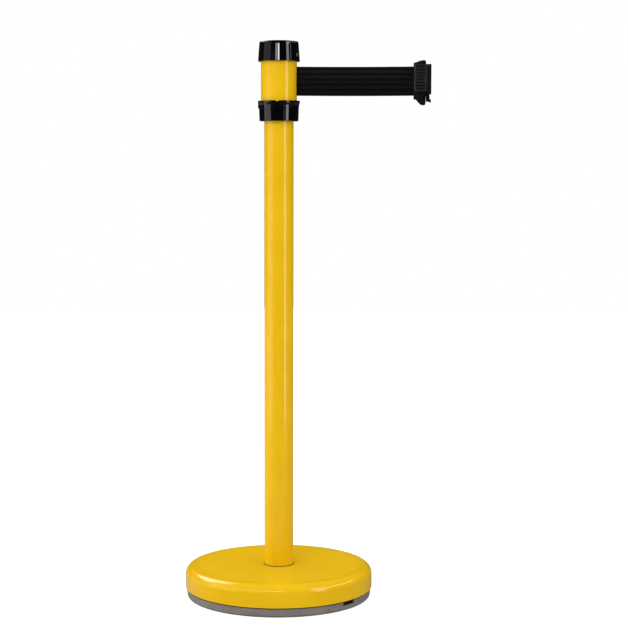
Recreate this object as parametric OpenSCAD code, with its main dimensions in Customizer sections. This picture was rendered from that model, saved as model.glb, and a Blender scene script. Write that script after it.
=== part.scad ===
// Retractable-belt barrier post: a weighted round base, a straight tube and a
// head that holds a spring-driven reel of belt. Millimetres. The floor is z = 0,
// the post stands on the Z axis, the belt is drawn out along +X and the front
// of the head looks towards -Y.

/* [Base] */
// Diameter of the cover over the base
base_d = 329; // [300:1:360]
// Height of the cover's top above the floor
base_h = 56; // [52:0.5:60]
// Height of the tray's rim, where the cover starts
tray_h = 17.3; // [14:0.1:20]
// Radius of the cover's rounded shoulder
shoulder_r = 15; // [10:0.5:20]
// Sheet thickness of the cover
cover_t = 1.2; // [0.8:0.1:2]
// How far the tray's rim stands in from the cover's edge
tray_inset = 1.5; // [1:0.1:4]
// How far the tray draws in from its rim to the floor
tray_taper = 2; // [1:0.1:5]
// Rounding of the tray's lower edge
tray_round = 8; // [3:0.5:9]
// Thickness of the tray's floor and wall
tray_t = 4; // [3:0.1:6]
// Width of the cover's turned-in lip
lip_w = 7; // [5:0.5:10]
// Width of the notch for lifting the cover
notch_w = 27; // [16:0.5:32]
// Height of the notch for lifting the cover
notch_h = 7; // [4:0.5:8]
// Direction of the notch, from +X towards +Y
notch_angle = -37.5; // [-80:0.5:-10]

/* [Post] */
// Outside diameter of the post tube
post_d = 50.8; // [46:0.1:54]
// Wall of the post tube
post_t = 1.5; // [1.2:0.1:2.5]
// Height of the collar's underside above the floor
post_h = 835; // [700:5:1000]
// Depth of the post's foot below the cover's top
foot_depth = 24; // [20:0.5:26]
// Length of the plug in the post's foot
foot_plug_h = 20; // [16:0.5:30]
// Thickness of the threaded disc in the post's neck
neck_plug_h = 12; // [8:0.5:20]

/* [Anchor bolt] */
// Thread diameter of the bolt that holds post and base together
bolt_d = 12; // [10:1:14]
// Height of the bolt's head
bolt_head_h = 6; // [5:0.5:6.5]
// Width of the bolt's head across its flats
bolt_af = 19; // [17:1:22]
// Diameter of the washer under the ballast
washer_d = 44; // [36:1:50]
// Thickness of that washer
washer_t = 2.5; // [2:0.1:3]

/* [Head] */
// Outside diameter of the tube round the reel
head_d = 62; // [60:0.5:66]
// Wall of that tube
head_t = 1.5; // [1.2:0.1:1.8]
// Height of the collar outside
collar_h = 35; // [33:0.5:45]
// Clear height between the collar's rim and the cap's skirt
window_h = 67.4; // [66:0.2:76]
// Radial gap between the tube and the collar's rim, where a hook hangs
cup_gap = 3.6; // [3.2:0.1:5]
// Depth of that gap below the rim
cup_depth = 14.7; // [12:0.1:16]
// Wall of the collar's rim
rim_t = 1.7; // [1.2:0.1:2.5]
// How far the tube sits in the collar below the gap
seat_depth = 7.3; // [5:0.1:9]
// Wall of the sleeve that lines the cup round the tube
liner_t = 0.6; // [0.5:0.1:0.9]
// How much smaller the collar's foot is than its rim, in radius
collar_taper = 2.6; // [1:0.1:4]
// Thickness of the collar's floor
collar_floor_t = 7; // [5:0.1:9]
// Length of the spigot that the collar puts into the post
spigot_h = 26; // [18:1:40]
// Wall of that spigot
spigot_t = 2.5; // [2:0.1:4]
// Width of the slots in the rim that take a hook's web
hook_slot_w = 2.6; // [2.4:0.1:4]
// Depth of those slots
hook_slot_h = 13; // [8:0.5:14]
// Depth of the flared mouth of each slot
lead_in_h = 1.4; // [0.8:0.1:2.4]

/* [Cap] */
// Height of the cap's side wall
cap_h = 34.4; // [30:0.2:46]
// How far the cap's top is domed
cap_dome = 2; // [1:0.1:4]
// Radius of the cap's lower edge
cap_r = 36.2; // [34.5:0.1:38]
// How much the cap draws in towards its top, in radius
cap_taper = 2.4; // [1:0.1:4]
// Rounding of the cap's top edge
cap_edge_r = 2.6; // [1:0.1:4]
// Thickness of the cap's top
cap_t = 2.6; // [1.8:0.1:4]
// Width of the slits in the cap at its lower edge, above the hook slots
cap_slit_w = 1.8; // [1.2:0.1:3]
// Width of those slits at the cap's top
cap_slit_top_w = 1; // [0.6:0.1:2]
// Depth of those slits
cap_slit_d = 1.5; // [0.8:0.1:2]
// Height of the cap's screws above its lower edge
cap_screw_up = 10.5; // [9.5:0.1:11.5]
// Thread diameter of the cap's screws
cap_screw_d = 4; // [3:0.5:4]

/* [Belt] */
// Width of the webbing
belt_w = 50; // [46:0.5:52]
// Thickness of the webbing
belt_t = 0.6; // [0.5:0.05:0.8]
// Whole length of the belt outside the head when it is fully drawn
belt_reach = 2300; // [1800:50:2600]
// Length of belt shown between head and clip
drawn = 201.4; // [150:1:400]

/* [Reel] */
// Diameter of the fixed spindle
spindle_d = 10; // [8:0.5:10.5]
// Wall of the bushes that run on the spindle
bush_t = 1.8; // [1.4:0.1:2.2]
// Length of each bush
bush_h = 12; // [8:0.5:16]
// Wall of the reel's core
core_t = 2; // [1.6:0.1:2.4]
// Radius of the reel's flanges
flange_r = 27; // [25.5:0.1:27.8]
// Thickness of the reel's flanges
flange_t = 1.5; // [1.2:0.1:1.8]
// Strip thickness of the power spring
spring_t = 0.4; // [0.3:0.05:0.5]
// Number of coils in the power spring
spring_turns = 11; // [8:1:13]

/* [Brake] */
// Height of the brake shoes
shoe_h = 7; // [5:0.5:8]
// Depth of a shoe towards the spindle
shoe_depth = 7.5; // [6:0.1:8]
// Thickness of the lining on a shoe
lining_t = 1.3; // [1:0.1:1.6]
// Gap between a lining at rest and the drum
brake_gap = 0.9; // [0.8:0.05:1.2]
// Diameter of the pins that the shoes turn on
brake_pin_d = 3; // [2.5:0.1:3.5]
// Sweep of a shoe round the drum
shoe_sweep = 120; // [100:1:130]

/* [Clip] */
// Thickness of the clip's body, front to back
clip_t = 18; // [17:0.5:22]
// Thickness of the ribbed grips on the body
grip_t = 2; // [1.2:0.1:3]
// Width of the block that bears on a neighbouring head
block_w = 14; // [12:0.5:14.5]
// Chamfer on the front and back edges of that block
block_chamfer = 2.2; // [1:0.1:3]
// Number of grooves in each grip
grip_grooves = 8; // [4:1:8]
// Pitch of those grooves
groove_pitch = 5.4; // [4.5:0.1:5.6]
// Width of the hook's head, behind the rim
hook_w = 10; // [6:0.5:12]
// Diameter of the bar that holds the belt's end
bar_d = 3; // [2:0.1:3.6]

/* [Fits] */
// Clearance of pieces that are put together by hand
fit_gap = 0.2; // [0.1:0.05:0.3]
// Clearance of a shaft that turns in its bore
run_gap = 0.05; // [0.02:0.01:0.09]
// Clearance between moving and fixed faces
face_gap = 0.5; // [0.35:0.05:0.7]

/* [Hidden] */
$fn = 120;
eps = 0.01;

// Radii
base_r = base_d / 2;
post_r = post_d / 2;
post_in = post_r - post_t;
head_r = head_d / 2;
head_in = head_r - head_t;
rim_in = head_r + cup_gap;
rim_r = rim_in + rim_t;
liner_r = head_r + fit_gap + liner_t;
spindle_r = spindle_d / 2;
bush_in = spindle_r + run_gap;
bush_r = bush_in + bush_t;
core_in = bush_r + run_gap;
core_r = core_in + core_t;
drum_r = head_in - fit_gap;

// Levels in the base
tray_rim_r = base_r - tray_inset;
tray_foot_r = tray_rim_r - tray_taper;
lip_r = tray_rim_r - lip_w;
ballast_r = min(tray_foot_r - tray_t, lip_r) - 2;
ballast_top = base_h - cover_t - face_gap;
foot_z = base_h - foot_depth;
washer_room = washer_t + bolt_head_h + 1.5;
washer_z = washer_room - washer_t;
bolt_top = foot_z + foot_plug_h - 3;

// Levels in the head
rim_z = post_h + collar_h;
cup_z = rim_z - cup_depth;
seat_z = cup_z - seat_depth;
pocket_z = seat_z - collar_floor_t;
neck_top = pocket_z - spigot_h;
cap_z = rim_z + window_h;
belt_z = (rim_z + cap_z) / 2;
head_top = cap_z + 15;
cap_top = cap_z + cap_h;
screw_z = cap_z + cap_screw_up;

// The reel and what lies under it
side_gap = 0.8;
reel_z = belt_z - belt_w / 2 - side_gap - flange_t;
reel_top = belt_z + belt_w / 2 + side_gap + flange_t;
nut_h = 8;
nut_af = 17;
washer2_t = 1.5;
housing_wall = 1.8;
housing_web = 2;
spring_cover_t = 1.2;
web_z = seat_z + washer2_t + nut_h + 1;
housing_top = reel_z - face_gap - spring_cover_t;
spring_room = housing_top - web_z - housing_web;
spring_w = spring_room - 2 * face_gap;
arbor_r = core_in + 0.5;
arbor_z = web_z + housing_web + face_gap;
roll_r = sqrt(pow(core_r, 2) + belt_t * belt_reach / PI);

// The brake above the reel
drum_wall = 1.8;
drum_in = drum_r - drum_wall;
carrier_t = 1.5;
carrier_r = flange_r - 2;
carrier_top = reel_top + carrier_t;
shoe_z = carrier_top + 0.3;
drum_web_t = 2;
drum_web_z = shoe_z + shoe_h + face_gap;
drum_web_top = drum_web_z + drum_web_t;
drum_top = head_top - 1;
spindle_top = drum_web_top + nut_h + 1.5;
lining_r = drum_in - brake_gap;
shoe_r = lining_r - lining_t;
shoe_mid = shoe_r - shoe_depth / 2;
heel_sweep = 10;

// The clip, measured from its belt face and from the middle of the belt
clip_x = head_r + drawn;
clip_len = 30.7;
body_len = 21.4;
saddle_r = head_r + 0.3;
block_edge = block_w / 2 - 0.8 * block_chamfer;
saddle_sag = saddle_r - sqrt(pow(saddle_r, 2) - pow(block_edge, 2));
saddle_x = clip_x + clip_len - saddle_sag + saddle_r;
web_x = 21.4;
tip_x = clip_len - saddle_sag - (cup_gap - 0.6);
tip_relief = liner_t + 0.1;
pocket_x = 3;
pocket_len = 16;
pocket_up = belt_w / 2 + 2.6;
tongue_x = 10.5;
bar_x = 6.4;
clip_screw_d = 3;
clip_screw_x = 14.5;
clip_up = window_h / 2 - 1.6;
clip_down = window_h / 2 - 2.4;
clip_screw_levels = [pocket_up + clip_screw_d / 2 + 0.9, -clip_down - 4.5];
block_low = -22.5;
block_high = clip_up - 3.2;

// Points of a round stretch
function arc(cx, cy, r, from, to, n = 8) =
    [for (i = [0 : n]) let (a = from + (to - from) * i / n) [cx + r * cos(a), cy + r * sin(a)]];

// A turned solid from its half outline
module turned(outline) {
    rotate_extrude() polygon(outline);
}

module ring(r_out, r_in, z_low, z_high) {
    translate([0, 0, z_low]) difference() {
        cylinder(r = r_out, h = z_high - z_low);
        translate([0, 0, -1]) cylinder(r = r_in, h = z_high - z_low + 2);
    }
}

module hex(across, h) {
    cylinder(r = across / 2 / cos(30), h = h, $fn = 6);
}

// Places a copy at the front, the left and the back of the head
module each_receiver() {
    for (a = [180 : 90 : 360]) rotate([0, 0, a - 90]) children();
}

// ---------------------------------------------------------------- base

module base_tray() {
    color([0.5, 0.47, 0.45]) difference() {
        turned(concat(
            [[washer_d / 2 + 3, 0]],
            arc(tray_foot_r - tray_round, tray_round, tray_round, -90, 0, 8),
            [[tray_rim_r, tray_h - 1], [tray_rim_r - 1, tray_h]],
            [[tray_rim_r - tray_t, tray_h], [tray_rim_r - tray_t, tray_h - 4]],
            [[tray_foot_r - tray_t, tray_t], [washer_d / 2 + 3, tray_t]]
        ));
        rotate([0, 0, notch_angle])
            translate([tray_foot_r - tray_t - 2, -notch_w / 2, tray_h - notch_h])
                cube([tray_t + tray_taper + 4, notch_w, notch_h + 1]);
    }
}

module ballast() {
    cut = shoulder_r;
    color([0.62, 0.61, 0.59]) turned([
        [bolt_d / 2 + 1, washer_room], [washer_d / 2 + 2, washer_room],
        [washer_d / 2 + 2, tray_t], [ballast_r, tray_t],
        [ballast_r, ballast_top - cut], [ballast_r - cut, ballast_top],
        [post_r + fit_gap, ballast_top], [post_r + fit_gap, foot_z],
        [bolt_d / 2 + 1, foot_z]
    ]);
}

module base_cover() {
    hole_r = post_r + 0.4;
    edge = 0.8;
    in_r = shoulder_r - cover_t;
    color([0.92, 0.72, 0.12]) turned(concat(
        [[lip_r, tray_h]],
        arc(base_r - edge, tray_h + edge, edge, -90, 0, 4),
        arc(base_r - shoulder_r, base_h - shoulder_r, shoulder_r, 0, 90, 12),
        [[hole_r, base_h], [hole_r, base_h - cover_t]],
        arc(base_r - shoulder_r, base_h - shoulder_r, in_r, 90, 0, 12),
        [[base_r - cover_t, tray_h + cover_t], [lip_r, tray_h + cover_t]]
    ));
}

module cover_seal() {
    r = 0.8;
    color([0.08, 0.08, 0.08]) rotate_extrude()
        translate([post_r + fit_gap + r, base_h + r]) circle(r = r, $fn = 24);
}

module anchor_bolt() {
    color([0.7, 0.7, 0.72]) {
        translate([0, 0, washer_z - bolt_head_h]) hex(bolt_af, bolt_head_h);
        translate([0, 0, washer_z - eps]) cylinder(d = bolt_d, h = bolt_top - washer_z);
    }
}

module anchor_washer() {
    color([0.75, 0.75, 0.77]) ring(washer_d / 2, bolt_d / 2 + 0.5, washer_z, washer_room);
}

// ---------------------------------------------------------------- post

module foot_plug() {
    color([0.6, 0.6, 0.62])
        ring(post_in - fit_gap, bolt_d / 2 + run_gap, foot_z, foot_z + foot_plug_h);
}

module post_tube() {
    color([0.92, 0.72, 0.12]) ring(post_r, post_in, foot_z, pocket_z);
}

module neck_plug() {
    color([0.6, 0.6, 0.62])
        ring(post_in - fit_gap, spindle_r + run_gap, neck_top - neck_plug_h, neck_top);
}

// ---------------------------------------------------------------- head

// A moulded ring: spigot in the post, seat for the tube, open cup for hooks
module collar() {
    foot_r = rim_r - collar_taper;
    kink_z = rim_z - 11.5;
    edge = 0.6;
    spigot_r = post_in - fit_gap;
    color([0.07, 0.07, 0.08]) difference() {
        turned([
            [spindle_r + fit_gap, seat_z], [head_r + fit_gap, seat_z],
            [head_r + fit_gap, rim_z - lead_in_h - 0.2], [liner_r, rim_z - lead_in_h - 0.2],
            [liner_r, cup_z], [rim_in, cup_z],
            [rim_in, rim_z - edge], [rim_in + edge, rim_z], [rim_r - edge, rim_z],
            [rim_r, rim_z - edge], [rim_r, rim_z - 3],
            [rim_r - 1.3, rim_z - 7.5], [rim_r - 1.7, kink_z],
            [foot_r, post_h + edge], [foot_r - edge, post_h],
            [post_r + fit_gap, post_h], [post_r + fit_gap, pocket_z],
            [spigot_r, pocket_z], [spigot_r, neck_top],
            [spigot_r - spigot_t, neck_top], [spigot_r - spigot_t, pocket_z],
            [spindle_r + fit_gap, pocket_z]
        ]);
        each_receiver() translate([rim_in - 1, 0, rim_z]) {
            translate([0, -hook_slot_w / 2, -hook_slot_h])
                cube([rim_t + 4, hook_slot_w, hook_slot_h + 1]);
            rotate([90, 0, 90]) linear_extrude(rim_t + 4) polygon([
                [-hook_slot_w / 2, -lead_in_h], [hook_slot_w / 2, -lead_in_h],
                [hook_slot_w / 2 + 4, 1], [-hook_slot_w / 2 - 4, 1]
            ]);
        }
    }
}

module head_tube() {
    slot_w = 8;
    color([0.92, 0.72, 0.12]) difference() {
        ring(head_r, head_in, seat_z, head_top);
        translate([head_in - 3, -slot_w / 2, belt_z - belt_w / 2 - 2])
            cube([10, slot_w, belt_w + 4]);
        for (a = [-20, 160]) rotate([0, 0, a]) translate([head_in - 2, 0, screw_z])
            rotate([0, 90, 0]) cylinder(d = cap_screw_d + 2 * fit_gap, h = 6);
    }
}

// Smooth black mouth that the belt slides through, set in the tube's slot
module belt_guide() {
    half_w = 4 - fit_gap;
    half_h = belt_w / 2 + 2 - fit_gap;
    lip_x = head_in - fit_gap;
    inner_x = head_in - 1.9;
    mouth = 0.9;
    color([0.05, 0.05, 0.05]) difference() {
        intersection() {
            union() {
                translate([inner_x, -half_w, belt_z - half_h])
                    cube([6, 2 * half_w, 2 * half_h]);
                translate([inner_x, -half_w - 1.6, belt_z - half_h - 0.8])
                    cube([1, 2 * half_w + 3.2, 2 * half_h + 1.6]);
            }
            translate([0, 0, belt_z - half_h - 5]) cylinder(r = head_r, h = 2 * half_h + 10);
        }
        translate([0, 0, belt_z - belt_w / 2 - 0.6]) linear_extrude(belt_w + 1.2) polygon([
            [head_r + 1, -mouth], [head_r + 1, mouth], [lip_x + 0.2, mouth],
            [head_in - 3, 4.6], [head_in - 3, -mouth]
        ]);
    }
}

module cap() {
    top_r = cap_r - cap_taper;
    lean = atan(cap_taper / cap_h);
    dome_from = top_r - cap_edge_r;
    skirt_in = head_r + fit_gap;
    room_top = cap_top - cap_t;
    color([0.07, 0.07, 0.08]) difference() {
        turned(concat(
            [[skirt_in, cap_z], [cap_r - 0.5, cap_z], [cap_r, cap_z + 0.5]],
            arc(dome_from, cap_top - cap_edge_r, cap_edge_r, 4, 84, 6),
            [for (i = [1 : 4]) [dome_from * (1 - i / 4), cap_top + cap_dome * (1 - pow(1 - i / 4, 2))]],
            [[0, room_top], [head_in - 2, room_top], [head_in - 2, head_top + fit_gap],
             [skirt_in, head_top + fit_gap]]
        ));
        each_receiver() translate([cap_r - cap_slit_d, 0, cap_z]) rotate([0, -lean, 0])
            translate([0, 0, -1]) rotate([90, 0, 90]) linear_extrude(cap_slit_d + 4)
                polygon([[-cap_slit_w / 2, 0], [cap_slit_w / 2, 0],
                         [cap_slit_top_w / 2, cap_h + 4], [-cap_slit_top_w / 2, cap_h + 4]]);
        for (a = [-20, 160]) rotate([0, 0, a]) translate([0, 0, screw_z]) rotate([0, 90, 0]) {
            translate([0, 0, head_r - 3]) cylinder(d = cap_screw_d + 2 * fit_gap, h = 12);
            translate([0, 0, cap_r - 2.6]) cylinder(d = 2 * cap_screw_d - 0.4, h = 12);
        }
    }
}

module cap_screws() {
    head_x = cap_r - 2.5;
    color([0.7, 0.7, 0.72]) for (a = [-20, 160]) rotate([0, 0, a])
        translate([0, 0, screw_z]) rotate([0, 90, 0]) difference() {
            union() {
                translate([0, 0, drum_r - 1.2])
                    cylinder(d = cap_screw_d, h = head_x - drum_r + 1.3);
                translate([0, 0, head_x]) cylinder(d = 2 * cap_screw_d - 1, h = 1.6);
            }
            translate([0, 0, head_x + 0.6]) hex(cap_screw_d / 2, 3);
        }
}

// ---------------------------------------------------------------- spindle and spring

module spindle() {
    color([0.78, 0.78, 0.8]) translate([0, 0, neck_top - neck_plug_h + 1])
        cylinder(r = spindle_r, h = spindle_top - neck_top + neck_plug_h - 1);
}

module spindle_washer() {
    color([0.75, 0.75, 0.77]) ring(nut_af / 2 + 2.5, spindle_r + run_gap, seat_z, seat_z + washer2_t);
}

module spindle_nuts() {
    color([0.7, 0.7, 0.72]) for (z = [seat_z + washer2_t, drum_web_top]) difference() {
        translate([0, 0, z]) hex(nut_af, nut_h);
        translate([0, 0, z - 1]) cylinder(r = spindle_r + run_gap, h = nut_h + 2);
    }
}

// Cup for the power spring, standing on the collar's floor over the lower nut
module spring_housing() {
    color([0.2, 0.2, 0.22]) turned([
        [spindle_r + fit_gap, web_z], [drum_r - housing_wall, web_z],
        [drum_r - housing_wall, seat_z], [drum_r, seat_z],
        [drum_r, housing_top], [drum_r - housing_wall, housing_top],
        [drum_r - housing_wall, web_z + housing_web], [spindle_r + fit_gap, web_z + housing_web]
    ]);
}

module spring_cover() {
    color([0.6, 0.6, 0.62])
        ring(drum_r, arbor_r + face_gap, housing_top, housing_top + spring_cover_t);
}

// Flat spiral strip, from the arbor out to the housing's wall
module power_spring() {
    r_in = arbor_r + 0.3;
    r_out = drum_r - housing_wall - spring_t - 0.3;
    steps = spring_turns * 18;
    function at(i, out) = let (r = r_in + (r_out - r_in) * i / steps + out, a = 20 * i)
        [r * cos(a), r * sin(a)];
    color([0.35, 0.37, 0.42]) translate([0, 0, arbor_z]) linear_extrude(spring_w)
        polygon(concat(
            [for (i = [0 : steps]) at(i, 0)],
            [for (i = [steps : -1 : 0]) at(i, spring_t)]
        ));
}

// ---------------------------------------------------------------- reel

module reel() {
    color([0.85, 0.85, 0.82]) turned([
        [core_in, reel_z], [flange_r, reel_z], [flange_r, reel_z + flange_t],
        [core_r, reel_z + flange_t], [core_r, reel_top - flange_t],
        [flange_r, reel_top - flange_t], [flange_r, reel_top], [core_in, reel_top]
    ]);
}

module reel_arbor() {
    color([0.7, 0.7, 0.72]) difference() {
        ring(arbor_r, spindle_r + face_gap, arbor_z, reel_z);
        translate([0, -0.5, arbor_z - 1]) cube([arbor_r + 1, 1, spring_w * 0.8]);
    }
}

module reel_bushes() {
    color([0.8, 0.6, 0.25]) {
        ring(bush_r, bush_in, reel_z, reel_z + bush_h);
        ring(bush_r, bush_in, reel_top - bush_h, reel_top);
    }
}

module belt_roll() {
    color([0.06, 0.06, 0.06])
        ring(roll_r, core_r + 0.1, belt_z - belt_w / 2, belt_z + belt_w / 2);
}

// The stretch of belt between the roll and the mouth
module belt_lead() {
    path_r = roll_r + 0.4;
    end_x = head_in - 0.4;
    turn = acos((path_r + belt_t / 2) / end_x);
    run = sqrt(pow(end_x, 2) - pow(path_r, 2)) - belt_t;
    color([0.06, 0.06, 0.06]) rotate([0, 0, turn])
        translate([path_r, -run, belt_z - belt_w / 2]) cube([belt_t, run, belt_w]);
}

// ---------------------------------------------------------------- brake

module brake_drum() {
    color([0.55, 0.56, 0.58]) difference() {
        turned([
            [spindle_r + fit_gap, drum_web_z], [drum_in, drum_web_z],
            [drum_in, reel_top + 0.7], [drum_r, reel_top + 0.7],
            [drum_r, drum_top], [drum_in, drum_top],
            [drum_in, drum_web_top], [spindle_r + fit_gap, drum_web_top]
        ]);
        for (a = [-20, 160]) rotate([0, 0, a]) translate([drum_in - 1, 0, screw_z])
            rotate([0, 90, 0]) cylinder(r = cap_screw_d / 2 + run_gap, h = 5);
    }
}

module brake_carrier() {
    color([0.6, 0.6, 0.62]) ring(carrier_r, bush_r, reel_top, carrier_top);
}

module brake_pins() {
    color([0.75, 0.75, 0.77]) for (s = [-1, 1])
        translate([s * shoe_mid, 0, carrier_top])
            cylinder(d = brake_pin_d, h = shoe_h + 0.3);
}

module sector(r_out, r_in, from, sweep, h) {
    rotate([0, 0, from]) rotate_extrude(angle = sweep)
        translate([r_in, 0]) square([r_out - r_in, h]);
}

// One shoe, turned about its pin on the +X side
module shoe() {
    difference() {
        translate([0, 0, shoe_z])
            sector(shoe_r, shoe_r - shoe_depth, -heel_sweep, shoe_sweep + heel_sweep, shoe_h);
        translate([shoe_mid, 0, shoe_z - 1]) cylinder(r = brake_pin_d / 2 + run_gap, h = shoe_h + 2);
    }
}

module lining() {
    translate([0, 0, shoe_z + 0.5])
        sector(lining_r, shoe_r, 20, shoe_sweep - 24, shoe_h - 1);
}

module brake_shoe_a() { color([0.5, 0.5, 0.52]) shoe(); }
module brake_shoe_b() { color([0.5, 0.5, 0.52]) rotate([0, 0, 180]) shoe(); }
module brake_lining_a() { color([0.3, 0.26, 0.22]) lining(); }
module brake_lining_b() { color([0.3, 0.26, 0.22]) rotate([0, 0, 180]) lining(); }

// Light return springs, each from one shoe's tail to the other's heel
module shoe_springs() {
    coil_r = 1;
    half_turn = (180 - heel_sweep - shoe_sweep) / 2;
    back_off = (0.3 + coil_r * sin(half_turn)) / cos(half_turn);
    reach = 2 * (shoe_mid * sin(half_turn) - back_off);
    color([0.7, 0.7, 0.72]) for (turn = [0, 180]) rotate([0, 0, turn + shoe_sweep + half_turn])
        translate([shoe_mid * cos(half_turn), -reach / 2, shoe_z + shoe_h / 2])
            rotate([-90, 0, 0]) cylinder(r = coil_r, h = reach, $fn = 24);
}

// ---------------------------------------------------------------- belt end

module belt_strap() {
    color([0.06, 0.06, 0.06])
        translate([head_in + 0.2, -belt_t / 2, belt_z - belt_w / 2])
            cube([clip_x + bar_x - bar_d / 2 - belt_t - 0.6 - head_in, belt_t, belt_w]);
}

module belt_loop() {
    color([0.06, 0.06, 0.06]) translate([clip_x + bar_x, 0, 0])
        ring(bar_d / 2 + 0.1 + belt_t, bar_d / 2 + 0.1, belt_z - belt_w / 2, belt_z + belt_w / 2);
}

module belt_bar() {
    color([0.7, 0.7, 0.72]) translate([clip_x + bar_x, 0, belt_z - pocket_up + fit_gap])
        cylinder(d = bar_d, h = 2 * (pocket_up - fit_gap));
}

// Side outline of the clip's body, x along the belt and z from its middle
function clip_outline() = [
    [0, -clip_down + 1], [1, -clip_down], [4.2, -clip_down - 0.3], [7.9, -clip_down - 5],
    [11.4, -clip_down - 8.4], [14.4, -clip_down - 9.8], [18.6, -clip_down - 9.8],
    [20.6, -clip_down - 8], [body_len, -clip_down + 6], [body_len, clip_up],
    [20.4, clip_up + 2.8], [18.6, clip_up + 3.3], [14.6, clip_up + 3.1], [9.6, clip_up + 1.8],
    [5.6, clip_up], [1.4, clip_up - 0.8], [0, clip_up - 2.2]
];

module clip_half(side) {
    half = clip_t / 2;
    wall = 2;
    slot_h = belt_w / 2 + 0.6;
    translate([clip_x, 0, belt_z]) scale([1, side, 1]) difference() {
        rotate([90, 0, 0]) linear_extrude(half) polygon(clip_outline());
        translate([pocket_x, -half + wall, -pocket_up]) cube([pocket_len, half, 2 * pocket_up]);
        translate([pocket_x, -block_w / 2, block_low - fit_gap])
            cube([30, half, pocket_up - block_low]);
        translate([-1, -0.8, -slot_h]) cube([pocket_x + 2, 2, 2 * slot_h]);
        for (z = clip_screw_levels)
            translate([clip_screw_x, 1, z]) rotate([90, 0, 0])
                cylinder(r = clip_screw_d / 2 + run_gap, h = side < 0 ? half + 2 : half - 1.5);
    }
}

module clip_front() { color([0.07, 0.07, 0.07]) clip_half(1); }
module clip_back() { color([0.07, 0.07, 0.07]) clip_half(-1); }

// Ribbed plate for finger and thumb, one on each face of the clip
module grip(side) {
    low = -17;
    high = 28.4;
    left = 1.4;
    right = 24;
    corner = 3;
    first = high - 3.8;
    translate([clip_x, 0, belt_z]) scale([1, side, 1]) translate([0, -clip_t / 2, 0])
        rotate([90, 0, 0]) difference() {
            linear_extrude(grip_t) polygon(concat(
                [[left, low]], arc(right - corner, low + corner, corner, -90, 0, 4),
                arc(right - corner, high - corner, corner, 0, 90, 4), [[left, high]]
            ));
            for (i = [0 : grip_grooves - 1])
                translate([4.2, first - i * groove_pitch - 1.15, grip_t - 0.9])
                    cube([14.4, 2.3, 2]);
        }
}

module grip_front() { color([0.09, 0.09, 0.09]) grip(1); }
module grip_back() { color([0.09, 0.09, 0.09]) grip(-1); }

// Block that bears on a neighbour's head, and the T-shaped hook under it
module hook() {
    color([0.08, 0.08, 0.08]) difference() {
        translate([clip_x, 0, belt_z]) {
            translate([tongue_x, -block_w / 2 + fit_gap, block_low])
                cube([web_x - tongue_x + 1, block_w - 2 * fit_gap, pocket_up - fit_gap - block_low]);
            translate([0, 0, block_low]) linear_extrude(block_high - block_low) polygon([
                [web_x, -block_w / 2], [clip_len - block_chamfer, -block_w / 2],
                [clip_len, -block_edge], [clip_len, block_edge],
                [clip_len - block_chamfer, block_w / 2], [web_x, block_w / 2]
            ]);
            translate([web_x, -hook_slot_w / 2 + fit_gap, -clip_down - 4])
                cube([tip_x - web_x + 0.5, hook_slot_w - 2 * fit_gap, clip_down + 5 + block_low]);
            translate([tip_x, -hook_w / 2, -clip_down - 5.6])
                cube([clip_len - tip_x, hook_w, 5.8]);
        }
        translate([saddle_x, 0, belt_z - 60]) cylinder(r = saddle_r, h = 120);
        translate([saddle_x, 0, belt_z - clip_down - 10])
            cylinder(r = saddle_r + tip_relief, h = 12);
    }
}

module clip_screws() {
    color([0.7, 0.7, 0.72]) translate([clip_x, 0, belt_z])
        for (z = clip_screw_levels)
            translate([clip_screw_x, clip_t / 2 + 0.2, z]) rotate([90, 0, 0])
                cylinder(d = clip_screw_d, h = clip_t - 3);
}

base_tray();
ballast();
base_cover();
cover_seal();
anchor_bolt();
anchor_washer();
foot_plug();
post_tube();
neck_plug();
collar();
head_tube();
belt_guide();
cap();
cap_screws();
spindle();
spindle_washer();
spindle_nuts();
spring_housing();
spring_cover();
power_spring();
brake_drum();
reel();
reel_arbor();
reel_bushes();
belt_roll();
belt_lead();
brake_carrier();
brake_pins();
shoe_springs();
brake_shoe_a();
brake_lining_a();
brake_shoe_b();
brake_lining_b();
belt_strap();
belt_loop();
belt_bar();
clip_front();
clip_back();
grip_front();
grip_back();
hook();
clip_screws();
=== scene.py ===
import math

import bmesh
import bpy
from mathutils import Matrix, Vector


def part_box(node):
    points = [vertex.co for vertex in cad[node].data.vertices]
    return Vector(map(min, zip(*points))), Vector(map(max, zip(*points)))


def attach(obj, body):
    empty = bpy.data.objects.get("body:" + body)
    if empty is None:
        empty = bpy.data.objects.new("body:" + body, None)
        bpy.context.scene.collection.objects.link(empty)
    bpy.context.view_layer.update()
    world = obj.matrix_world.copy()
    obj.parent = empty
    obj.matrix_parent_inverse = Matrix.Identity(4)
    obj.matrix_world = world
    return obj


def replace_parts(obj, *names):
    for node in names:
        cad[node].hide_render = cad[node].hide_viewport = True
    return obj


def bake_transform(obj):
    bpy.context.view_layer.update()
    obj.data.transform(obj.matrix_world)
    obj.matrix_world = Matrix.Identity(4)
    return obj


# The finished post takes its places from the working model, in metres: the floor is z = 0,
# the post stands on the Z axis, the belt runs out along +X and the front looks to -Y.
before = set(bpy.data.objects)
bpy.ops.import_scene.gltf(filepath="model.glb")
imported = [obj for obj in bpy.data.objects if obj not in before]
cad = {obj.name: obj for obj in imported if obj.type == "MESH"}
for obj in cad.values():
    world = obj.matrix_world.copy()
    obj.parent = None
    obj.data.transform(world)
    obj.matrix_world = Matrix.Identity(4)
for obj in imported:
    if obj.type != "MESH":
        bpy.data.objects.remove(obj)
scene = bpy.context.scene
scene.view_settings.view_transform = "Standard"
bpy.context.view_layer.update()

# ---------------------------------------------------------------- camera
# A long lens at three quarters of the post's height, a little to the belt's side of the
# middle, so that the base is seen from above and the cap's top only just.
camera_distance = 3.008
camera_height = 0.7645
camera_side = math.radians(4.94)
camera_turn = math.radians(-1.16)
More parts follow.
